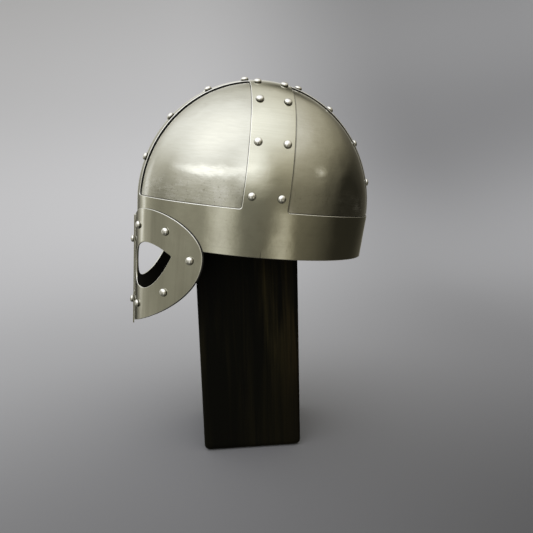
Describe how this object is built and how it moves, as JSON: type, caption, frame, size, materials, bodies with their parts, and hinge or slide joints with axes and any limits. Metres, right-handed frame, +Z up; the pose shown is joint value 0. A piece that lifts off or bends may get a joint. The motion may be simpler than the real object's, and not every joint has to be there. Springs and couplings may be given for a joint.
{
  "type": "norse iron helmet on a wooden post stand",
  "caption": "Riveted iron helmet with cross bands over a domed cap and a spectacle guard for the eyes, resting on a square wooden display post.",
  "frame": {"origin": "middle of the post's foot, on the floor", "axes": "+Z up along the post; the sides of the post lie along X and Y; the helmet's nose points roughly along -Y and the wearer's left roughly along +X"},
  "size_m": [0.1999, 0.2515, 0.3748],
  "materials": {
    "band_iron": "satin, brushed",
    "plate_iron": "satin, lightly polished",
    "guard_iron": "satin, brushed",
    "rivet_iron": "satin",
    "stained_wood": "dark stained, dull"
  },
  "bodies": {
    "root": {"brow_and_cross_bands": "band_iron", "display_post": "stained_wood", "dome_plate_front_left": "plate_iron", "dome_plate_front_right": "plate_iron", "dome_plate_rear_left": "plate_iron", "dome_plate_rear_right": "plate_iron", "guard_rivet_left_1": "rivet_iron", "guard_rivet_left_2": "rivet_iron", "guard_rivet_left_3": "rivet_iron", "guard_rivet_left_4": "rivet_iron", "guard_rivet_left_5": "rivet_iron", "guard_rivet_right_1": "rivet_iron", "guard_rivet_right_2": "rivet_iron", "guard_rivet_right_3": "rivet_iron", "guard_rivet_right_4": "rivet_iron", "guard_rivet_right_5": "rivet_iron", "keel_rivet_left_front_1": "rivet_iron", "keel_rivet_left_front_2": "rivet_iron", "keel_rivet_left_front_3": "rivet_iron", "keel_rivet_left_front_4": "rivet_iron", "keel_rivet_left_rear_1": "rivet_iron", "keel_rivet_left_rear_2": "rivet_iron", "keel_rivet_left_rear_3": "rivet_iron", "keel_rivet_left_rear_4": "rivet_iron", "keel_rivet_right_front_1": "rivet_iron", "keel_rivet_right_front_2": "rivet_iron", "keel_rivet_right_front_3": "rivet_iron", "keel_rivet_right_front_4": "rivet_iron", "keel_rivet_right_rear_1": "rivet_iron", "keel_rivet_right_rear_2": "rivet_iron", "keel_rivet_right_rear_3": "rivet_iron", "keel_rivet_right_rear_4": "rivet_iron", "nose_rivet_1": "rivet_iron", "nose_rivet_2": "rivet_iron", "nose_strip": "guard_iron", "side_rivet_left_front_1": "rivet_iron", "side_rivet_left_front_2": "rivet_iron", "side_rivet_left_front_3": "rivet_iron", "side_rivet_left_front_4": "rivet_iron", "side_rivet_left_rear_1": "rivet_iron", "side_rivet_left_rear_2": "rivet_iron", "side_rivet_left_rear_3": "rivet_iron", "side_rivet_left_rear_4": "rivet_iron", "side_rivet_right_front_1": "rivet_iron", "side_rivet_right_front_2": "rivet_iron", "side_rivet_right_front_3": "rivet_iron", "side_rivet_right_front_4": "rivet_iron", "side_rivet_right_rear_1": "rivet_iron", "side_rivet_right_rear_2": "rivet_iron", "side_rivet_right_rear_3": "rivet_iron", "side_rivet_right_rear_4": "rivet_iron", "spectacle_guard": "guard_iron"}
  },
  "joints": []
}
